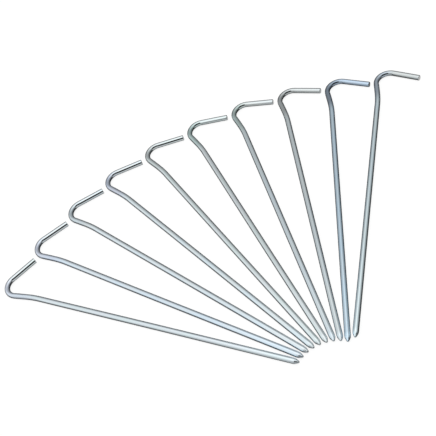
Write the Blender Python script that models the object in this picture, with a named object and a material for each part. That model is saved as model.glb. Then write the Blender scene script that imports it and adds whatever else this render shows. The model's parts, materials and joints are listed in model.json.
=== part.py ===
"""Ten bent-wire tent stakes laid out on the ground in a fan.

Every stake is one length of round, zinc-plated steel wire, made the way a wire former makes it:
the wire is fed straight, bent, fed and bent again. From the ground end up it has a blunt point,
a long straight shank, a slight kink, a short neck, a tight hook bend and a straight hook arm
that ends in a square cut.

Metres, +Z up. The stakes lie on Z = 0. The fan's centre line runs along +Y, from the points to
the hooks, and the origin is below the middle of the fan's outline.
"""

import math

import bmesh
import bpy
from mathutils import Matrix, Vector

# The wire
WIRE_DIAMETER = 0.0040
WIRE_SIDES = 16

# The straight runs of one stake
POINT_LENGTH = 0.0030
SHANK_LENGTH = 0.1955
NECK_LENGTH = 0.0090
ARM_LENGTH = 0.0208

# The bends, measured on the wire's centreline: the kink turns away from the hook's side
KINK_RADIUS = 0.0887
KINK_ANGLE = math.radians(8.4)
HOOK_RADIUS = 0.0091
HOOK_ANGLE = math.radians(122.6)
KINK_STEPS = 3
HOOK_STEPS = 14

# The point's blunt end
POINT_END_DIAMETER = 0.0012

# The fan: the points stand side by side on a small arc, and the shanks open out from them.
# The last stake lies a little further out than the others, and its hook sprang open a little.
STAKE_COUNT = 10
POINT_CLEARANCE = 0.00035
ARM_CLEARANCE = 0.0033
POINT_ARC_EXTRA_STEP = math.radians(1.33)
POINT_ARC_LEAN = math.radians(15.7)
LAST_STAKE_PUSH = 0.0043
LAST_STAKE_OPENING = math.radians(3.5)

# Zinc plating with a thin clear passivate, which tints it a little: (red, green, blue)
ZINC_TINTS = {
    "clear": (0.70, 0.73, 0.74),
    "blue": (0.62, 0.69, 0.77),
    "green": (0.68, 0.75, 0.72),
}
STAKE_TINTS = (
    "green", "blue", "blue", "blue", "green", "green", "clear", "clear", "blue", "clear",
)
ZINC_ROUGHNESS = 0.28


def clear_scene():
    """Removes whatever the scene holds."""
    for obj in list(bpy.data.objects):
        bpy.data.objects.remove(obj, do_unlink=True)


class WireFormer:
    """Feeds and bends one wire that lies flat, from its point to its cut end.

    The wire is a many-sided bar with one flat side down and one on each hand, so its width and
    its height are exactly the wire's diameter. It starts at the origin and is fed along +X.
    """

    def __init__(self, start_diameter):
        self.bm = bmesh.new()
        self.place = Vector((0.0, 0.0, WIRE_DIAMETER / 2))
        self.heading = 0.0
        half_side = math.pi / WIRE_SIDES
        upright = Matrix.Rotation(math.pi / 2, 4, "Y") @ Matrix.Rotation(half_side, 4, "Z")
        bmesh.ops.create_circle(
            self.bm,
            segments=WIRE_SIDES,
            radius=start_diameter / 2 / math.cos(half_side),
            matrix=Matrix.Translation(self.place) @ upright,
        )
        self.rim = list(self.bm.edges)

    def rim_corners(self):
        return list(dict.fromkeys(corner for edge in self.rim for corner in edge.verts))

    def feed(self, length, widen=1.0):
        """Pushes the wire straight on; widen turns the run into a cone."""
        grown = bmesh.ops.extrude_edge_only(self.bm, edges=self.rim)["geom"]
        self.rim = [item for item in grown if isinstance(item, bmesh.types.BMEdge)]
        corners = self.rim_corners()
        bmesh.ops.scale(
            self.bm,
            vec=(widen, widen, widen),
            space=Matrix.Translation(-self.place),
            verts=corners,
        )
        step = length * Vector((math.cos(self.heading), math.sin(self.heading), 0.0))
        bmesh.ops.translate(self.bm, vec=step, verts=corners)
        self.place += step

    def bend(self, radius, angle, steps):
        """Bends the wire round a former; a positive angle turns to the left."""
        side = math.copysign(radius, angle)
        towards = Vector((-math.sin(self.heading), math.cos(self.heading), 0.0))
        centre = self.place + side * towards
        turned = bmesh.ops.spin(
            self.bm,
            geom=self.rim_corners() + self.rim,
            cent=centre,
            axis=(0.0, 0.0, 1.0),
            angle=angle,
            steps=steps,
            use_duplicate=False,
        )["geom_last"]
        self.rim = [item for item in turned if isinstance(item, bmesh.types.BMEdge)]
        self.place = centre + Matrix.Rotation(angle, 3, "Z") @ (self.place - centre)
        self.heading += angle

    def cut(self, name):
        """Closes the wire's two ends and returns it as a mesh with round sides and sharp ends."""
        bmesh.ops.holes_fill(self.bm, edges=self.bm.edges)
        bmesh.ops.recalc_face_normals(self.bm, faces=self.bm.faces)
        mesh = bpy.data.meshes.new(name)
        self.bm.to_mesh(mesh)
        self.bm.free()
        mesh.shade_smooth()
        mesh.set_sharp_from_angle(angle=math.radians(35))
        return mesh


def form_stake(hook_opening=0.0):
    """One stake, its point at the origin and its shank along +X, with the hook to the right.

    hook_opening is how much less its hook is bent. Returns its mesh and the middle of its cut end.
    """
    wire = WireFormer(POINT_END_DIAMETER)
    wire.feed(POINT_LENGTH, widen=WIRE_DIAMETER / POINT_END_DIAMETER)
    wire.feed(SHANK_LENGTH)
    wire.bend(KINK_RADIUS, KINK_ANGLE, KINK_STEPS)
    wire.feed(NECK_LENGTH)
    wire.bend(HOOK_RADIUS, hook_opening - HOOK_ANGLE, HOOK_STEPS)
    wire.feed(ARM_LENGTH)
    return wire.cut("bent_wire"), wire.place.copy()


def fan_step(arm_end):
    """The angle between neighbouring shanks.

    They are a wire and a clearance apart at the points, and as far apart at the end of the hook
    arm as the arm reaches sideways, plus a wire and a clearance.
    """
    point_spacing = WIRE_DIAMETER + POINT_CLEARANCE
    arm_spacing = -arm_end.y + WIRE_DIAMETER + ARM_CLEARANCE
    return math.asin((arm_spacing - point_spacing) / arm_end.x)


def stake_places(arm_end):
    """Where each stake lies, left to right, before the fan is centred."""
    step = fan_step(arm_end)
    arc_step = step + POINT_ARC_EXTRA_STEP
    arc_radius = (WIRE_DIAMETER + POINT_CLEARANCE) / (2 * math.sin(arc_step / 2))
    places = []
    for index in range(STAKE_COUNT):
        from_middle = (STAKE_COUNT - 1) / 2 - index
        arc_angle = math.pi / 2 - POINT_ARC_LEAN + from_middle * arc_step
        point = arc_radius * Vector((math.cos(arc_angle), math.sin(arc_angle), 0.0))
        turn = Matrix.Rotation(math.pi / 2 + from_middle * step, 4, "Z")
        last = index == STAKE_COUNT - 1
        push = Matrix.Translation((LAST_STAKE_PUSH if last else 0.0, 0.0, 0.0))
        places.append(Matrix.Translation(point) @ turn @ push)
    return places


def middle_of_outline(meshes, places):
    """The middle of the fan's outline on the ground."""
    corners = [
        place @ vertex.co for mesh, place in zip(meshes, places) for vertex in mesh.vertices
    ]
    low = Vector((min(c.x for c in corners), min(c.y for c in corners), 0.0))
    high = Vector((max(c.x for c in corners), max(c.y for c in corners), 0.0))
    return (low + high) / 2


def zinc_material(name, tint):
    """Bright zinc on steel: a metal with a light tint and a fairly smooth surface."""
    material = bpy.data.materials.new(name)
    material.use_nodes = True
    shader = material.node_tree.nodes["Principled BSDF"]
    shader.inputs["Base Color"].default_value = (*tint, 1.0)
    shader.inputs["Roughness"].default_value = ZINC_ROUGHNESS
    shader.inputs["Metallic"].default_value = 1.0
    material.diffuse_color = (*tint, 1.0)
    return material


def main():
    clear_scene()
    mesh, arm_end = form_stake()
    last_mesh, _ = form_stake(LAST_STAKE_OPENING)
    meshes = [mesh] * (STAKE_COUNT - 1) + [last_mesh]
    places = stake_places(arm_end)

    fan = bpy.data.objects.new("fan", None)
    fan.location = -middle_of_outline(meshes, places)
    bpy.context.scene.collection.objects.link(fan)

    for number, (wire, place) in enumerate(zip(meshes, places), start=1):
        name = f"stake_{number:02d}"
        stake = bpy.data.objects.new(name, wire.copy())
        stake.data.name = name
        tint = ZINC_TINTS[STAKE_TINTS[(number - 1) % len(STAKE_TINTS)]]
        stake.data.materials.append(zinc_material(f"zinc_{number:02d}", tint))
        bpy.context.scene.collection.objects.link(stake)
        stake.parent = fan
        stake.matrix_basis = place

    bpy.data.meshes.remove(mesh)
    bpy.data.meshes.remove(last_mesh)
    bpy.context.view_layer.update()


main()
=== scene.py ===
# %% [markdown]
# # Ten zinc-plated tent stakes, laid out in a fan
#
# A wire tent stake is about the simplest piece of camping hardware there is: a length of 4 mm
# round steel wire with a point at one end and a hook for the guy line at the other. Its looks
# come from three things: how cleanly the wire is bent, how bright the zinc on it is, and what
# the room around it looks like, because bright zinc is close to a mirror.
#
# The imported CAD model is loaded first. It is the frame: it says where every stake lies, and
# nothing in this lesson moves it.

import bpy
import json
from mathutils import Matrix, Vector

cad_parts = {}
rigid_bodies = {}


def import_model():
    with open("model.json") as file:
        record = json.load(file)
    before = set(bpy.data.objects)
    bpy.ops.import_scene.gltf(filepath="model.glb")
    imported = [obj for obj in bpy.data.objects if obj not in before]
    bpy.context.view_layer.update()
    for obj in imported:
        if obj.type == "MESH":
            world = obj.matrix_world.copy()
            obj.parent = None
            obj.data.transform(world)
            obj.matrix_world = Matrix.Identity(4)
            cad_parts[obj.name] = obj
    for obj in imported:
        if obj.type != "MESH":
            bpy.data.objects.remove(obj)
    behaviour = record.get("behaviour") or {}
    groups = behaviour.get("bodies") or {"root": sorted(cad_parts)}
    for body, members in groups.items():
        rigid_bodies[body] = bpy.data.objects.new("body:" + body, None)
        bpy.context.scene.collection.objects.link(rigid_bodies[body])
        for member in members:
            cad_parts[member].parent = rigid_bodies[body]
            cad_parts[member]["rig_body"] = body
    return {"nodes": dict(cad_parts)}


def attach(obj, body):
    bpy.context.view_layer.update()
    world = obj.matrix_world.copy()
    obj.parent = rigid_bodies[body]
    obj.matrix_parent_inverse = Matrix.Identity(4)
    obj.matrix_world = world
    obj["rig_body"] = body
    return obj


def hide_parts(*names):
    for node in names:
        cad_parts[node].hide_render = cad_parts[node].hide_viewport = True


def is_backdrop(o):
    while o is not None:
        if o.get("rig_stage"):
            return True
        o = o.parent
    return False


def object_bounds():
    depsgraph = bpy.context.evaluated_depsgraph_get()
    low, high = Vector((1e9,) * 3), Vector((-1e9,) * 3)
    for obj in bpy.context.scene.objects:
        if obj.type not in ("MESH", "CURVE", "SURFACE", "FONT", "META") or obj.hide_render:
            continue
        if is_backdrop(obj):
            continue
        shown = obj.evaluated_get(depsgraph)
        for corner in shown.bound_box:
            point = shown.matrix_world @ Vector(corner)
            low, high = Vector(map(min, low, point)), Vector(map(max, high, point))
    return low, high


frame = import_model()
cad_low, cad_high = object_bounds()
print("the CAD box, in metres:", [round(side, 4) for side in (cad_high - cad_low)])

# %% What else is imported, and the unit
import json
import math
import random

import bpy
import numpy as np
from mathutils import Matrix, Vector

MM = 0.001
print("one millimetre is", MM, "metres")

# %% [markdown]
# ## The camera
#
# The fan is seen from the side of its points, from about 47 degrees above the ground, by a
# camera that is rolled clockwise. A camera could be placed by its own coordinates, but it is
# easier to say what it looks at, from where and how far away. That place is given from the
# middle of the CAD box, so the view stays right if the fan is packed somewhere else.

# %% The camera
AIM_FROM_MIDDLE = Vector((-14.3, 23.3, -2.0)) * MM
CAMERA_DISTANCE = 681.8 * MM
CAMERA_ELEVATION = math.radians(47.35)
CAMERA_HEADING = math.radians(80.05)
CAMERA_ROLL = math.radians(-23.71)
LENS_MM = 79.66
SENSOR_MM = 36.0
NEAREST_SEEN = 10 * MM


def aim_camera():
    """A camera that looks along its heading and down, then rolls about the way it looks."""
    data = bpy.data.cameras.new("camera")
    data.lens = LENS_MM
    data.sensor_width = SENSOR_MM
    data.clip_start = NEAREST_SEEN
    camera = bpy.data.objects.new("camera", data)
    bpy.context.scene.collection.objects.link(camera)
    turn = (
        Matrix.Rotation(CAMERA_HEADING - math.pi / 2, 4, "Z")
        @ Matrix.Rotation(math.pi / 2 - CAMERA_ELEVATION, 4, "X")
        @ Matrix.Rotation(CAMERA_ROLL, 4, "Z")
    )
    aim = (cad_low + cad_high) / 2 + AIM_FROM_MIDDLE
    camera.matrix_world = Matrix.Translation(aim) @ turn @ Matrix.Translation((0, 0, CAMERA_DISTANCE))
    bpy.context.scene.camera = camera
    return camera


camera = aim_camera()
print("camera at", [round(place, 4) for place in camera.matrix_world.translation])

# %% [markdown]
# ## One way to write shaders
#
# A material is a small sum over a surface: so much draw line, plus so much grain. Node trees
# hide such sums in wires, so this class wraps the output of a node and lets Python's own signs
# add the Math nodes. Every other node comes from one method, `Recipe.node`, which takes the
# node's type, its settings, and then what goes into its sockets. A Math node would turn a colour
# grey, so colours are blended by Mix nodes, and places are stretched by Vector Math nodes.

# %% Sums of sockets
class Value:
    """A number that varies over a surface. A sum written with it becomes Math nodes."""

    def __init__(self, recipe, output):
        self.recipe = recipe
        self.output = output

    def math(self, operation, *terms):
        return self.recipe.node("ShaderNodeMath", {"operation": operation}, dict(enumerate(terms)))

    def __add__(self, other):
        return self.math("ADD", self, other)

    def __radd__(self, other):
        return self.math("ADD", other, self)

    def __sub__(self, other):
        return self.math("SUBTRACT", self, other)

    def __rsub__(self, other):
        return self.math("SUBTRACT", other, self)

    def __mul__(self, other):
        return self.math("MULTIPLY", self, other)

    def __rmul__(self, other):
        return self.math("MULTIPLY", other, self)

    def __truediv__(self, other):
        return self.math("DIVIDE", self, other)

    def __rtruediv__(self, other):
        return self.math("DIVIDE", other, self)

    def __pow__(self, other):
        return self.math("POWER", self, other)


class Recipe:
    """The node tree of one material or of the world."""

    def __init__(self, owner):
        owner.use_nodes = True
        self.tree = owner.node_tree
        self.tree.nodes.clear()

    def node(self, kind, settings=None, sockets=None, output=0):
        """Makes a node, first its settings and then its sockets, and returns one of its outputs."""
        made = self.tree.nodes.new(kind)
        for name, setting in (settings or {}).items():
            if name == "stops":
                self.set_stops(made.color_ramp, setting)
            else:
                setattr(made, name, setting)
        for name, value in (sockets or {}).items():
            socket = self.find(made.inputs, name)
            if isinstance(value, Value):
                self.tree.links.new(value.output, socket)
            else:
                socket.default_value = value
        return Value(self, self.find(made.outputs, output)) if made.outputs else None

    @staticmethod
    def find(sockets, name):
        """A socket by its number, or the one in use among those of one name."""
        if isinstance(name, int):
            return sockets[name]
        return next(socket for socket in sockets if socket.name == name and socket.enabled)

    @staticmethod
    def set_stops(ramp, stops):
        """stops is a list of (place, brightness)."""
        while len(ramp.elements) < len(stops):
            ramp.elements.new(1.0)
        for element, (place, shade) in zip(ramp.elements, stops):
            element.position = place
            element.color = (shade, shade, shade, 1.0)

    def step(self, value, start, end):
        """0 where value is below start, 1 where it is above end, and smooth between them."""
        settings = {"interpolation_type": "SMOOTHSTEP", "clamp": True}
        return self.node(
            "ShaderNodeMapRange", settings, {"Value": value, "From Min": start, "From Max": end}
        )

    def blend(self, factor, first, second):
        """A colour between two colours."""
        sockets = {"Factor": factor, "A": first, "B": second}
        return self.node("ShaderNodeMix", {"data_type": "RGBA"}, sockets, output="Result")


print("Value and Recipe are ready")

# %% [markdown]
# ## The studio
#
# Bright metal shows the room and little else. A product studio has a wide softbox overhead, a
# white wall on one side, darker walls on the others, and a dark camera and photographer behind
# the lens: that dark shape draws the crisp black line down the middle of the hook arms. To give
# thin bright wires an outline, photographers lay them on clear glass with black cards round the
# horizon. So the metal mirrors dark below the horizon too, except on the side of the camera.
#
# Lamps and cards could be modelled one by one, but a world shader is quicker to tune. The room
# is written as brightness by height above the horizon, with one list for each side of the room.
# Light that comes straight to the camera is plain white instead.

# %% The studio's brightness by direction
BACKDROP_BRIGHTNESS = 1.0
# What the camera sees in zinc is darker than the room by zinc's own brightness
ZINC_BRIGHTNESS = 0.80

# Each side of the room: (height in degrees, brightness as mirrored)
DARK_SIDE = [
    (-90, 0.03), (-2, 0.05), (6, 0.11), (16, 0.27), (30, 0.38), (44, 0.48), (54, 0.74), (68, 1.0),
]
FAR_END = [
    (-60, 0.03), (-2, 0.05), (8, 0.11), (20, 0.25), (32, 0.35), (44, 0.47), (57, 0.78), (70, 1.0),
]
WHITE_SIDE = [
    (-60, 0.05), (-20, 0.12), (-5, 0.34), (5, 0.56), (15, 0.75), (27, 0.84), (52, 0.74), (72, 0.98),
]
LEFT_OF_CAMERA = [
    (-60, 0.20), (-30, 0.40), (20, 0.43), (32, 0.52), (45, 0.76), (56, 0.93), (74, 1.05),
]
CAMERA_SIDE = [
    (-80, 0.14), (-62, 0.28), (-45, 0.50), (-20, 0.56), (-4, 0.48),
    (5, 0.04), (56, 0.0), (66, 0.88), (74, 1.06),
]

# Going round the room from +X by the left: the headings where a side starts, and is all there is
ROUND_THE_ROOM = (
    (FAR_END, 46.0, 60.0),
    (WHITE_SIDE, 88.0, 150.0),
    (LEFT_OF_CAMERA, 176.0, 204.0),
    (CAMERA_SIDE, 222.0, 238.0),
    (DARK_SIDE, 298.0, 325.0),
)
print("sides of the room:", len(ROUND_THE_ROOM))


# %% The world's shader
def upwards(height):
    """A height from -90 to 90 degrees as a share from 0 to 1; it takes numbers and values."""
    return (height + 90.0) / 180.0


def by_height(room, height, profile):
    """A brightness that follows a list of (height in degrees, brightness)."""
    stops = [(upwards(degrees), shade / ZINC_BRIGHTNESS) for degrees, shade in profile]
    return room.node("ShaderNodeValToRGB", {"stops": stops}, {"Fac": upwards(height)})


def build_studio():
    """The world's light, by direction."""
    world = bpy.data.worlds.new("studio")
    bpy.context.scene.world = world
    room = Recipe(world)
    way = room.node("ShaderNodeTexCoord", output="Generated")
    x, y, z = (room.node("ShaderNodeSeparateXYZ", None, {0: way}, output=axis) for axis in "XYZ")
    height = z.math("ARCSINE", z) * math.degrees(1)
    around = y.math("ARCTAN2", y, x) * math.degrees(1)
    heading = around.math("FLOORED_MODULO", around, 360.0)
    light = by_height(room, height, DARK_SIDE)
    for profile, starts, complete in ROUND_THE_ROOM:
        mask = room.step(heading, starts, complete)
        light = room.blend(mask, light, by_height(room, height, profile))
    lit = room.node("ShaderNodeBackground", None, {"Color": light, "Strength": 1.0})
    plain = room.node(
        "ShaderNodeBackground", None, {"Color": (1, 1, 1, 1), "Strength": BACKDROP_BRIGHTNESS}
    )
    seen = room.node("ShaderNodeLightPath", output="Is Camera Ray")
    both = room.node("ShaderNodeMixShader", None, {0: seen, 1: lit, 2: plain})
    room.node("ShaderNodeOutputWorld", None, {"Surface": both})
    # Plain white has to stay white, so the picture is shown without a film's soft highlights
    bpy.context.scene.view_settings.view_transform = "Standard"


build_studio()
print("the studio lights every side, and the backdrop is plain white")

# %% [markdown]
# ## The floor
#
# The stakes lie on a plain white sheet that is lit from below, so that only the faintest shadow
# is left under each wire. A sheet of plain white with strong lamps over it would do the same, but
# a sheet that glows is even from edge to edge. It is there for the camera: the metal mirrors the
# room instead, as it would on clear glass.

# %% The floor
FLOOR_SIDE = 6.0
FLOOR_DROP = 0.1 * MM
FLOOR_WHITE = 0.22
FLOOR_GLOW = 0.88


def lay_floor():
    """A square sheet on the ground that isn't part of the object."""
    half = FLOOR_SIDE / 2
    mesh = bpy.data.meshes.new("floor")
    corners = [(-half, -half), (half, -half), (half, half), (-half, half)]
    mesh.from_pydata([(x, y, cad_low.z - FLOOR_DROP) for x, y in corners], [], [(0, 1, 2, 3)])
    sheet = bpy.data.objects.new("floor", mesh)
    bpy.context.scene.collection.objects.link(sheet)
    material = bpy.data.materials.new("lit_sheet")
    paint = Recipe(material)
    white = {
        "Base Color": (FLOOR_WHITE, FLOOR_WHITE, FLOOR_WHITE, 1.0),
        "Roughness": 0.9,
        "Specular IOR Level": 0.0,
        "Emission Color": (1.0, 1.0, 1.0, 1.0),
        "Emission Strength": FLOOR_GLOW,
    }
    surface = paint.node("ShaderNodeBsdfPrincipled", None, white)
    paint.node("ShaderNodeOutputMaterial", None, {"Surface": surface})
    mesh.materials.append(material)
    sheet.visible_glossy = False
    sheet.visible_shadow = False
    sheet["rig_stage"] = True


lay_floor()
print("the floor lies", round(FLOOR_DROP / MM, 2), "mm below the stakes")

# %% [markdown]
# ## The line the wire follows
#
# A wire former feeds the wire straight and swings it round a roller, and does that again for
# each bend. A curve object with a round bevel could follow such a path, but its handles would
# have to be placed by eye. So one stake is a list of runs here: each has a length and a
# curvature, and they are the sizes of the CAD model's wire. One stake's hook sprang open a
# little, so it has its own list.

# %% One stake's runs
WIRE_RADIUS = 2.0 * MM
POINT_LENGTH = 3.0 * MM
POINT_END_RADIUS = 0.6 * MM
SHANK_LENGTH = 195.5 * MM
NECK_LENGTH = 9.0 * MM
ARM_LENGTH = 20.8 * MM
KINK_RADIUS = 88.7 * MM
KINK_ANGLE = math.radians(8.4)
HOOK_RADIUS = 9.1 * MM
HOOK_ANGLE = math.radians(122.6)
SPRUNG_STAKE = "stake_10"
SPRUNG_OPEN = math.radians(3.5)


def runs_with(hook_angle):
    """Each run's name, length, curvature (left is positive), and the step between its rings."""
    return (
        ("point", POINT_LENGTH, 0.0, 0.25 * MM),
        ("shank", SHANK_LENGTH, 0.0, 1.50 * MM),
        ("kink", KINK_RADIUS * KINK_ANGLE, 1 / KINK_RADIUS, 0.80 * MM),
        ("neck", NECK_LENGTH, 0.0, 0.60 * MM),
        ("hook", HOOK_RADIUS * hook_angle, -1 / HOOK_RADIUS, 0.35 * MM),
        ("arm", ARM_LENGTH, 0.0, 0.60 * MM),
    )


print("the hook turns", round(math.degrees(HOOK_ANGLE), 1), "degrees, and less on", SPRUNG_STAKE)

# %% [markdown]
# ### Walking along the runs
#
# Steel springs back, so a bend never starts all at once. The curvature is smoothed over two
# millimetres first. Adding it up along the wire gives the heading, and adding up the steps in
# that heading gives the place.

# %% Walking along the runs
FINE_STEP = 0.05 * MM
BEND_EASE = 2.0 * MM


def walk(runs):
    """Where the centre line is, which way it heads and how it curves, at every fine step."""
    ends = np.cumsum([length for _, length, _, _ in runs])
    total = float(ends[-1])
    along = np.arange(0.0, total + FINE_STEP / 2, FINE_STEP)
    which = np.minimum(np.searchsorted(ends, along, side="right"), len(runs) - 1)
    sharp = np.array([curvature for _, _, curvature, _ in runs])[which]
    width = int(BEND_EASE / FINE_STEP)
    window = np.hanning(width + 2)
    padded = np.pad(sharp, (width, width), mode="edge")
    curvature = np.convolve(padded, window / window.sum(), mode="same")[width:-width]
    heading = np.concatenate([[0.0], np.cumsum((curvature[1:] + curvature[:-1]) / 2 * FINE_STEP)])
    middle = (heading[1:] + heading[:-1]) / 2
    x = np.concatenate([[0.0], np.cumsum(np.cos(middle) * FINE_STEP)])
    y = np.concatenate([[0.0], np.cumsum(np.sin(middle) * FINE_STEP)])
    line = {"along": along, "x": x, "y": y, "heading": heading, "curvature": curvature}
    line["runs"] = runs
    line["length"] = total
    line["start"] = {run[0]: float(end - run[1]) for run, end in zip(runs, ends)}
    return line


usual_line = walk(runs_with(HOOK_ANGLE))
sprung_line = walk(runs_with(HOOK_ANGLE - SPRUNG_OPEN))
print("wire in one stake:", round(usual_line["length"] * 1000, 1), "mm")
print("the arm ends at", [round(usual_line[axis][-1] * 1000, 2) for axis in "xy"], "mm")

# %% [markdown]
# ## Where each stake lies
#
# Each CAD node is a wire somewhere in the fan. The places could be copied out by hand, but the
# node's own vertices give them exactly. Most of them are in the hook, so the vertex farthest from
# their mean is at the point. The small ring there gives the wire's start, and the ring at the
# shank's other end gives its heading.

# %% Reading a stake's place from its CAD node
SHANK_TOP = POINT_LENGTH + SHANK_LENGTH
POINT_REACH = 2 * MM
RING_REACH = 1 * MM


def place_of(node):
    """The middle of the wire's point and the heading of its shank."""
    corners = np.array([vertex.co for vertex in frame["nodes"][node].data.vertices])
    corners = np.unique(corners.round(6), axis=0)
    farthest = corners[np.argmax(np.linalg.norm(corners - corners.mean(axis=0), axis=1))]
    start = corners[np.linalg.norm(corners - farthest, axis=1) < POINT_REACH].mean(axis=0)
    away = np.linalg.norm(corners - start, axis=1)
    top = corners[np.abs(away - SHANK_TOP) < RING_REACH].mean(axis=0)
    return start, math.atan2(top[1] - start[1], top[0] - start[0])


STAKES = sorted(name for name in frame["nodes"] if name.startswith("stake_"))
places = {name: place_of(name) for name in STAKES}
for name, (start, heading) in places.items():
    print(name, "starts at", (start * 1000).round(2), "mm, heading", round(math.degrees(heading), 2))

# %% [markdown]
# ## What the tools leave on the wire
#
# A formed wire isn't a perfect tube. It flattens a little where it is bent. The former's pin
# presses a shallow flat into the inside of the hook, and its roller leaves another on the
# outside where the bend stops. One stake also took a knock on its neck. A bump map could fake
# these marks, but they are real dents here, so they change the outline and catch the light from
# any side. Each is a soft hollow with a bell-shaped depth.

# %% Dents
FLATTENING = 0.035
LEFT_SIDE = 0.0
RIGHT_SIDE = math.pi
KNOCKED_STAKE = "stake_01"


def dents_on(node, line):
    """Each dent: where along the wire, where round it, half its length and width, its depth."""
    hook, arm, neck = (line["start"][run] for run in ("hook", "arm", "neck"))
    kink = (line["start"]["kink"] + neck) / 2
    dents = [
        (hook + 1.5 * MM, RIGHT_SIDE, 2.2 * MM, 0.55, 0.07 * MM),
        ((hook + arm) / 2, RIGHT_SIDE, 7.0 * MM, 0.45, 0.05 * MM),
        (arm - 1.0 * MM, RIGHT_SIDE, 2.0 * MM, 0.50, 0.06 * MM),
        (arm + 2.5 * MM, LEFT_SIDE, 2.6 * MM, 0.60, 0.08 * MM),
        (kink - 4.0 * MM, LEFT_SIDE + 0.5, 2.5 * MM, 0.55, 0.07 * MM),
        (kink + 5.0 * MM, RIGHT_SIDE - 0.4, 2.5 * MM, 0.55, 0.07 * MM),
    ]
    if node == KNOCKED_STAKE:
        dents.append((neck + 3.0 * MM, RIGHT_SIDE - 0.9, 0.7 * MM, 0.30, 0.20 * MM))
    return dents


def pressed(along, angle, dents):
    """How deep the dents are at each place, and how much of a mark they leave, from 0 to 1."""
    depth = np.zeros(np.broadcast(along, angle).shape)
    mark = np.zeros_like(depth)
    for middle, side, half_length, half_width, deepest in dents:
        round_it = (angle - side + math.pi) % (2 * math.pi) - math.pi
        shape = np.exp(-(((along - middle) / half_length) ** 2) - (round_it / half_width) ** 2)
        depth += deepest * shape
        mark = np.maximum(mark, shape)
    return depth, mark


print("tool marks on every stake:", len(dents_on(SPRUNG_STAKE, sprung_line)))
print("with a knock on its neck:", KNOCKED_STAKE)

# %% [markdown]
# ## The wire's outline at its two ends
#
# The point is ground to a blunt cone with a soft shoulder and a small domed tip. It could be cut
# with a boolean cone, but a radius that changes along the wire keeps the rings even. Rings stand
# close together at the point and round the hook, and further apart along the straight shank.

# %% Rings from the point to the cut end
SIDES = 48
TIP_ROUNDING = 0.35 * MM
TIP_RINGS = 6
TIP_BITE = 0.45
SHOULDER_SOFTNESS = 0.10
SHEAR_ROUNDING = 0.45 * MM
LEAST_RINGS = 2


def point_profile(along):
    """The point's radius at a distance from its tip: a cone that runs smoothly into the wire."""
    cone = POINT_END_RADIUS + (WIRE_RADIUS - POINT_END_RADIUS) * along / POINT_LENGTH
    share = cone / WIRE_RADIUS
    softened = -SHOULDER_SOFTNESS * np.log(
        np.exp(-share / SHOULDER_SOFTNESS) + np.exp(-1 / SHOULDER_SOFTNESS)
    )
    bite = np.clip(1 - along / TIP_ROUNDING, 0, 1)
    return softened * WIRE_RADIUS * np.sqrt(np.clip(1 - TIP_BITE * bite**2, 0, 1))


def ring_places(line):
    """Distances along the wire at which it gets a ring, without its end faces."""
    found = [np.linspace(0.0, TIP_ROUNDING, TIP_RINGS, endpoint=False)]
    at = TIP_ROUNDING
    for name, length, _, step in line["runs"]:
        end = line["start"][name] + length
        if name == "arm":
            end -= SHEAR_ROUNDING
        count = max(LEAST_RINGS, round((end - at) / step))
        found.append(np.linspace(at, end, count, endpoint=False))
        at = end
    return np.concatenate(found)


print("rings:", len(ring_places(usual_line)), "of", SIDES, "corners")

# %% [markdown]
# ### The sheared end
#
# The other end is cut by a blade. It comes in on one side, where it rolls the edge over, and the
# steel tears before it gets through, which leaves that side crisp and a little lower. The edge's
# rounding therefore changes round the wire, and the face is a height that falls and ripples.

# %% The sheared end
SHEAR_SIDE = math.radians(70)
SHEAR_STEPS = 7
FACE_SHARES = (0.94, 0.86, 0.74, 0.60, 0.45, 0.30, 0.15)
TIP_SHARES = (0.80, 0.55, 0.30)
TIP_DOME = 0.04 * MM
ROLLED_EDGE = 0.40 * MM
CRISP_EDGE = 0.09 * MM
ROLL_SHARPNESS = 1.5
TEAR_DEPTH = 0.06 * MM
TEAR_START = 0.25
RIPPLE_START = 0.6
RIPPLE_DEPTH = 0.25 * TEAR_DEPTH
RIPPLES = 9.0
RIPPLE_WANDER = 3.0
WANDERS = 4.0


def edge_rounding(angle):
    """How round the sheared edge is: rolled over where the blade came in, crisp where it left."""
    facing = 0.5 + 0.5 * np.cos(angle - SHEAR_SIDE)
    return CRISP_EDGE + (ROLLED_EDGE - CRISP_EDGE) * facing**ROLL_SHARPNESS


def torn(across, upright, phase):
    """How far the face lies behind the wire's very end: smooth near the blade's side, then torn."""
    towards = across * math.cos(SHEAR_SIDE) + upright * math.sin(SHEAR_SIDE)
    sideways = upright * math.cos(SHEAR_SIDE) - across * math.sin(SHEAR_SIDE)
    tear = np.clip(TEAR_START - towards, 0, 1) * TEAR_DEPTH
    wander = RIPPLE_WANDER * np.sin(WANDERS * sideways + phase)
    ripple = np.sin(RIPPLES * towards + wander) * RIPPLE_DEPTH
    return tear + ripple * np.clip(RIPPLE_START - towards, 0, 1)


print("the sheared edge is rounded by", CRISP_EDGE * 1000, "to", ROLLED_EDGE * 1000, "mm")

# %% [markdown]
# ## The wire's surface
#
# A curve's bevel makes a tube, but it can't flatten a bend, press a dent or shear an end. So the
# skin is worked out ring by ring with numpy. Each corner also keeps where it was on the straight
# wire before it was bent, in the attribute `blank`, in millimetres. The patterns in the zinc are
# made from that, so the draw lines follow the wire round its bends. A second attribute, `marks`,
# says how strongly a corner was pressed, ground or cut. No wire is quite straight, so each
# shank bows by its own small amount.

# %% One stake's skin
MOST_BOW = 0.12 * MM
MOST_PHASE = 6.0
GROUND_FADE = 0.8 * MM
# Past the point's cone, its soft shoulder still takes a little off the wire for this length
SHOULDER_REACH = 3 * MM
# Dents are only pressed into rings that are nearly as wide as the wire
DENTED_SHARE = 0.9


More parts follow.
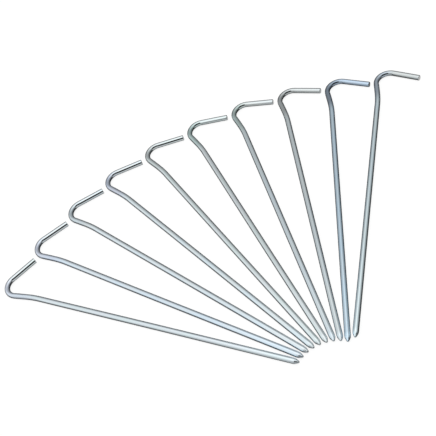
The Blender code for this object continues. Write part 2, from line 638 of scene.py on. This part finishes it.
def sections(line, angle, shake, dents):
    """Corner places in the stake's own axes, with the blank and marks attributes, ring by ring."""
    skin, blank, marks = [], [], []
    bow = shake.uniform(-MOST_BOW, MOST_BOW)
    phase = shake.uniform(0.0, MOST_PHASE)

    def add(along, radius, ground, cut):
        """One ring: along and radius may differ round the ring."""
        along = np.broadcast_to(along, angle.shape)
        depth, mark = pressed(along, angle, dents)
        radius = radius - depth * (radius > DENTED_SHARE * WIRE_RADIUS)
        inside = np.clip(along, 0.0, line["length"])
        past = along - inside
        x = np.interp(inside, line["along"], line["x"])
        y = np.interp(inside, line["along"], line["y"])
        heading = np.interp(inside, line["along"], line["heading"])
        bend = np.abs(np.interp(inside, line["along"], line["curvature"])) * HOOK_RADIUS
        share = np.clip(inside / SHANK_TOP, 0, 1)
        sway = bow * np.sin(math.pi * share) ** 2
        side = radius * np.cos(angle) * (1 - FLATTENING * bend) + sway
        upright = radius * np.sin(angle)
        x = x - np.sin(heading) * side + np.cos(heading) * past
        y = y + np.cos(heading) * side + np.sin(heading) * past
        skin.append(np.stack([x, y, WIRE_RADIUS + upright], axis=1))
        flat = np.stack([radius * np.cos(angle), radius * np.sin(angle), along], axis=1) / MM
        blank.append(flat)
        marks.append(np.stack([mark, np.full(angle.shape, ground), np.full(angle.shape, cut)], axis=1))

    tip_radius = float(point_profile(np.array([0.0]))[0])
    for share in reversed(TIP_SHARES):
        add(-TIP_DOME * (1 - share**2), np.full(angle.shape, tip_radius * share), 1.0, 0.0)
    for along in ring_places(line):
        inside_point = along < POINT_LENGTH + SHOULDER_REACH
        radius = float(point_profile(np.array([along]))[0]) if inside_point else WIRE_RADIUS
        ground = float(np.clip((POINT_LENGTH + GROUND_FADE - along) / GROUND_FADE, 0, 1))
        add(along, np.full(angle.shape, radius), ground, 0.0)
    rounding = edge_rounding(angle)
    for step in range(SHEAR_STEPS + 1):
        turn = math.pi / 2 * step / SHEAR_STEPS
        radius = WIRE_RADIUS - rounding * (1 - math.cos(turn))
        add(line["length"] - rounding * (1 - math.sin(turn)), radius, 0.0, float(step == SHEAR_STEPS))
    for share in FACE_SHARES:
        radius = (WIRE_RADIUS - rounding) * share
        across = radius * np.cos(angle) / WIRE_RADIUS
        upright = radius * np.sin(angle) / WIRE_RADIUS
        add(line["length"] - torn(across, upright, phase), radius, 0.0, 1.0)
    return np.array(skin), np.array(blank), np.array(marks)


print("a shank bows by up to", MOST_BOW * 1000, "mm")


# %% Joining the rings into a closed skin
def tube_faces(ring_count, sides):
    """Quads between the rings and a fan of triangles at each end, all facing outwards."""
    faces = []
    for ring in range(ring_count - 1):
        for side in range(sides):
            after = (side + 1) % sides
            here, there = ring * sides, (ring + 1) * sides
            faces.append((here + side, here + after, there + after, there + side))
    first, last = ring_count * sides, ring_count * sides + 1
    end = (ring_count - 1) * sides
    for side in range(sides):
        after = (side + 1) % sides
        faces.append((first, after, side))
        faces.append((end + side, end + after, last))
    return faces


def write_attribute(mesh, name, values):
    """Keeps three numbers at every corner of the mesh."""
    kept = mesh.attributes.new(name, "FLOAT_VECTOR", "POINT")
    kept.data.foreach_set("vector", values.astype(np.float32).ravel())


def closed(grid):
    """The rings' values in one list, with the middles of the two end faces after them."""
    ends = [grid[0].mean(axis=0), grid[-1].mean(axis=0)]
    return np.vstack([grid.reshape(-1, 3), ends])


print("one ring more adds", len(tube_faces(3, SIDES)) - len(tube_faces(2, SIDES)), "faces")


# %% Forming one wire
def form_wire(node):
    """The detailed wire of one stake, in place of its CAD node."""
    shake = random.Random(int(node[-2:]))
    angle = np.arange(SIDES) * 2 * math.pi / SIDES
    line = sprung_line if node == SPRUNG_STAKE else usual_line
    corners, blank, marks = sections(line, angle, shake, dents_on(node, line))
    start, heading = places[node]
    turn = np.array(Matrix.Rotation(heading, 3, "Z"))
    spots = closed(corners) @ turn.T + np.array([start[0], start[1], cad_low.z])
    mesh = bpy.data.meshes.new(node + "_wire")
    mesh.from_pydata(spots.tolist(), [], tube_faces(len(corners), SIDES))
    write_attribute(mesh, "blank", closed(blank))
    write_attribute(mesh, "marks", closed(marks))
    mesh.shade_smooth()
    mesh.validate()
    wire = bpy.data.objects.new(node + "_wire", mesh)
    bpy.context.scene.collection.objects.link(wire)
    return wire


print("form_wire is ready")

# %% [markdown]
# ## Bright zinc
#
# The wire is electroplated with zinc, then dipped in a clear passivate, a film thin enough to
# tint the metal a faint blue or green. The film's thickness drifts along the wire, so the tint
# does too: it is thicker round the neck and the hook, and thin on the arm. The neck, the hook and
# the arm are also painted darker by each stake's own amount, which is painted shade, and the low
# end is painted a little lighter, which is a painted highlight. Under the film are the steel's
# own marks: fine lines from the drawing die that run along the wire, a faint spiral rubbed on by
# the spinning straightener, and a satin grain. The tool marks are burnished, the ground point is
# dull with rings round it, and the sheared end is matte with tear lines.
#
# A scanned texture would need a flat layout of the wire. Noise that is stretched along the
# straight wire needs none, and never repeats. Metal is coloured by its base colour alone, so the
# tint goes there.

# %% The marks in the zinc
BUMP_HEIGHT = 0.006 * MM

# Each pattern's features per millimetre across, up and along the wire, its detail and roughness
PATTERNS = {
    "draw_lines": ((3.6, 3.6, 0.035), 3.0, 0.6),
    "grain": ((5.0, 5.0, 2.5), 3.0, 0.6),
    "cloud": ((0.22, 0.22, 0.045), 2.0, 0.5),
    "blotch": ((0.7, 0.7, 0.25), 2.0, 0.5),
    "scratches": ((1.1, 1.1, 0.11), 1.0, 0.5),
    "point_rings": ((0.3, 0.3, 9.0), 2.0, 0.5),
    "tears": ((2.2, 7.0, 1.0), 2.0, 0.5),
}
SPIRAL_PITCH = 11.0
SPIRAL_SHARPNESS = 12.0
SCRATCH_WIDTH = 0.012

# The values of blotch between which each thing comes in, and those of cloud for the film
SPIRAL_PATCHES = (0.42, 0.62)
SCRATCHED_PATCHES = (0.50, 0.60)
DULL_PATCHES = (0.62, 0.75)
FILM_PATCHES = (0.35, 0.65)

# What each mark adds to the height, as a share of BUMP_HEIGHT, and to the roughness
HEIGHTS = {"draw": 0.55, "grain": 0.35, "spiral": 0.35, "scratch": -0.6, "rings": 1.6, "tears": 2.0}
BASE_ROUGHNESS = 0.03
ROUGHNESSES = {"draw": 0.04, "grain": 0.04, "spiral": 0.04, "scratch": 0.10}
GROUND_ROUGHNESS = 0.14
CUT_ROUGHNESS = 0.35
BURNISHING = 0.03
SMOOTHED_BY_TOOLS = 0.7

# How far each mark goes towards the dulled colour
DULLED_SHARE = 0.72
GROUND_DULLING = 0.35
SCRATCH_DULLING = 0.25
PATCH_DULLING = 0.10
CUT_MATTENESS = 0.8
print(len(PATTERNS), "patterns of noise on the wire")

# %% Where along the wire its tint, its painted shade and its painted highlight change
# All in millimetres: the low end gets a painted highlight, then come the shank, the neck and the
# arm; the neck and the arm carry their tints and painted shade
USUAL_START = {run: along / MM for run, along in usual_line["start"].items()}
PAINTED_HIGHLIGHT_FADE = (25.0, 80.0)
LOW_END_PAINTED_HIGHLIGHT = 1.06
NECK_TINT_AND_SHADE_FADE = (USUAL_START["kink"], USUAL_START["neck"])
ARM_TINT_AND_SHADE_FADE = (USUAL_START["hook"] + 10.0, USUAL_START["arm"] + 3.0)
print("the neck's tint comes in from", [round(along, 1) for along in NECK_TINT_AND_SHADE_FADE], "mm")
print("the arm's tint comes in from", [round(along, 1) for along in ARM_TINT_AND_SHADE_FADE], "mm")


# %% The zinc finish, with its painted shade and painted highlight
def zinc(name, tints_and_painted_light, drift, seed):
    """Bright zinc with one stake's tints: of its shank, of its neck and hook, and of its arm, with
    painted shade on the neck, hook and arm and a painted highlight on the low end.
    """
    material = bpy.data.materials.new(name)
    paint = Recipe(material)
    blank = paint.node("ShaderNodeAttribute", {"attribute_name": "blank"}, None, "Vector")
    marks = paint.node("ShaderNodeAttribute", {"attribute_name": "marks"}, None, "Vector")
    formed, ground, cut = (
        paint.node("ShaderNodeSeparateXYZ", None, {0: marks}, output=axis) for axis in "XYZ"
    )
    across, upright, along = (
        paint.node("ShaderNodeSeparateXYZ", None, {0: blank}, output=axis) for axis in "XYZ"
    )

    def noise(pattern):
        """One of the patterns, on the straight wire."""
        stretch, detail, rough = PATTERNS[pattern]
        place = paint.node("ShaderNodeVectorMath", {"operation": "MULTIPLY"}, {0: blank, 1: stretch})
        shift = (seed, seed, seed)
        place = paint.node("ShaderNodeVectorMath", {"operation": "ADD"}, {0: place, 1: shift})
        sockets = {"Vector": place, "Scale": 1.0, "Detail": detail, "Roughness": rough}
        return paint.node("ShaderNodeTexNoise", None, sockets, "Fac")

    def lines(place, width):
        """Thin lines where a noise passes its middle value: they wander as scratches do."""
        off = (place - 0.5).math("ABSOLUTE", place - 0.5)
        return 1 - paint.step(off, 0.0, width)

    def tint_with_painted_light(tint, brightness=1.0):
        """A tint on zinc: as it is, and where the passivate is thicker, times brightness: painted
        shade below 1, a painted highlight above 1.
        """
        plain = (*(ZINC_BRIGHTNESS * brightness * part for part in tint), 1.0)
        thick = (*(part * turn for part, turn in zip(plain, drift)), 1.0)
        return paint.blend(thick_patches, plain, thick)

    thick_patches = paint.step(noise("cloud"), *FILM_PATCHES)
    blotch = noise("blotch")
    angle = upright.math("ARCTAN2", upright, across)
    wave = angle - along * (2 * math.pi / SPIRAL_PITCH)
    crest = (wave.math("COSINE", wave) * 0.5 + 0.5) ** SPIRAL_SHARPNESS
    scratched = paint.step(blotch, *SCRATCHED_PATCHES)
    layers = {
        "draw": noise("draw_lines"),
        "grain": noise("grain"),
        "spiral": crest * paint.step(blotch, *SPIRAL_PATCHES),
        "scratch": lines(noise("scratches"), SCRATCH_WIDTH) * scratched,
        "rings": noise("point_rings") * ground,
        "tears": noise("tears") * cut,
    }

    roughness = BASE_ROUGHNESS + ground * GROUND_ROUGHNESS + cut * CUT_ROUGHNESS
    for mark, share in ROUGHNESSES.items():
        roughness = roughness + layers[mark] * share
    roughness = roughness - formed * BURNISHING

    layers["draw"] = layers["draw"] * (1 - formed * SMOOTHED_BY_TOOLS) * (1 - ground) * (1 - cut)
    height = layers["grain"] * HEIGHTS["grain"]
    for mark in ("draw", "spiral", "scratch", "rings", "tears"):
        height = height + layers[mark] * HEIGHTS[mark]

    shank = tint_with_painted_light(tints_and_painted_light["shank"])
    # The low end is painted a little lighter: a painted highlight
    low_end_highlighted = tint_with_painted_light(tints_and_painted_light["shank"], LOW_END_PAINTED_HIGHLIGHT)
    # The neck, the hook and the arm are painted darker by each stake's own amount: painted shade
    neck = tint_with_painted_light(tints_and_painted_light["neck"], tints_and_painted_light["neck_painted_shade"])
    arm = tint_with_painted_light(tints_and_painted_light["arm"], tints_and_painted_light["arm_painted_shade"])
    colour = paint.blend(paint.step(along, *PAINTED_HIGHLIGHT_FADE), low_end_highlighted, shank)
    colour = paint.blend(paint.step(along, *NECK_TINT_AND_SHADE_FADE), colour, neck)
    colour = paint.blend(paint.step(along, *ARM_TINT_AND_SHADE_FADE), colour, arm)
    dulled = tuple(DULLED_SHARE * ZINC_BRIGHTNESS * part for part in tints_and_painted_light["shank"])
    dull = ground * GROUND_DULLING + layers["scratch"] * SCRATCH_DULLING
    dull = dull + paint.step(blotch, *DULL_PATCHES) * PATCH_DULLING
    colour = paint.blend(dull, colour, (*dulled, 1.0))
    # The sheared end is pale for its matte cut; how bright it is from stake to stake, darkest on stake
    # 9, is painted light and shade
    face = tints_and_painted_light["face"]
    colour = paint.blend(cut, colour, (face, face, face, 1.0))

    bump = {"Strength": 1.0, "Distance": BUMP_HEIGHT, "Height": height}
    look = {
        "Base Color": colour,
        "Metallic": 1 - cut * CUT_MATTENESS,
        "Roughness": roughness,
        "Normal": paint.node("ShaderNodeBump", None, bump, "Normal"),
    }
    surface = paint.node("ShaderNodeBsdfPrincipled", None, look)
    paint.node("ShaderNodeOutputMaterial", None, {"Surface": surface})
    return material


print("the zinc's marks stand", BUMP_HEIGHT * 1000, "mm high")

# %% [markdown]
# ### Each stake's tints and painted shade
#
# Stakes that are plated in one batch still come out a little different, because the film's
# colour depends on where each hung in the bath. So every stake has its own tints, in one table.
# The same table holds each stake's painted shade on its neck, hook and arm, and how bright its
# sheared end is painted.

# %% Each stake's tints, as (red, green, blue) beside a neutral grey, and its painted shade
# How each slot's tint turns where the film is thicker
DRIFTS = {
    "zinc_clear": (1.02, 1.0, 0.97),
    "zinc_blue": (0.95, 1.0, 1.04),
    "zinc_green": (0.97, 1.01, 0.99),
}
ARM_TINT = (0.935, 1.010, 1.035)
LAVENDER = (0.930, 1.000, 1.140)
GREENISH = (0.850, 1.040, 1.040)
STEEL_BLUE = (0.860, 1.010, 1.180)
PARTS = ("slot", "shank", "neck", "arm", "neck_painted_shade", "arm_painted_shade", "face")

# One row for each stake, with the parts in that order; the neck and arm brightnesses are painted
# shade, and face is how bright the sheared end is: pale for its matte cut, and spread from stake
# to stake by painted light and shade
ROWS = (
    ("zinc_green", (0.925, 1.015, 1.080), LAVENDER, ARM_TINT, 0.95, 1.00, 0.80),
    ("zinc_blue", (0.915, 1.018, 1.095), LAVENDER, ARM_TINT, 0.90, 1.00, 0.80),
    ("zinc_blue", (0.925, 1.018, 1.065), ARM_TINT, ARM_TINT, 0.86, 1.00, 0.80),
    ("zinc_blue", (0.925, 1.018, 1.050), LAVENDER, ARM_TINT, 0.79, 1.00, 0.80),
    ("zinc_green", (0.930, 1.015, 1.050), ARM_TINT, ARM_TINT, 0.79, 1.00, 0.80),
    ("zinc_green", (0.935, 1.015, 1.050), GREENISH, ARM_TINT, 0.76, 1.00, 0.92),
    ("zinc_clear", (0.895, 1.022, 1.100), GREENISH, ARM_TINT, 0.72, 0.97, 0.92),
    ("zinc_clear", (0.905, 1.020, 1.080), ARM_TINT, ARM_TINT, 0.63, 0.95, 0.92),
    ("zinc_blue", (0.845, 1.030, 1.160), STEEL_BLUE, STEEL_BLUE, 0.45, 0.86, 0.25),
    ("zinc_clear", (0.940, 1.115, 1.200), STEEL_BLUE, ARM_TINT, 0.66, 0.88, 0.92),
)
TINTS_AND_PAINTED_LIGHT = {node: dict(zip(PARTS, row)) for node, row in zip(STAKES, ROWS)}
print(len(TINTS_AND_PAINTED_LIGHT), "stakes in", len(DRIFTS), "finishes")

# %% [markdown]
# ## Ten stakes
#
# Every wire replaces the CAD node it was measured from and rides on that node's body. Its zinc
# is made from its row of tints and painted shade, whose slot name picks how the film's tint drifts.

# %% Forming and placing the ten wires
SEED_STEP = 13.7

for number, node in enumerate(STAKES, start=1):
    wire = form_wire(node)
    tints_and_painted_light = TINTS_AND_PAINTED_LIGHT[node]
    slot = tints_and_painted_light["slot"]
    material = zinc("zinc_of_" + node, tints_and_painted_light, DRIFTS[slot], SEED_STEP * number)
    wire.data.materials.append(material)
    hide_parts(node)
    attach(wire, frame["nodes"][node]["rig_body"])
    print(wire.name, len(wire.data.vertices), "corners,", slot)

# %% The two boxes, and the end
shown_low, shown_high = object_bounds()
grown = (shown_high - shown_low) - (cad_high - cad_low)
print("the detailed wires' box is larger by, in mm:", [round(side * 1000, 2) for side in grown])
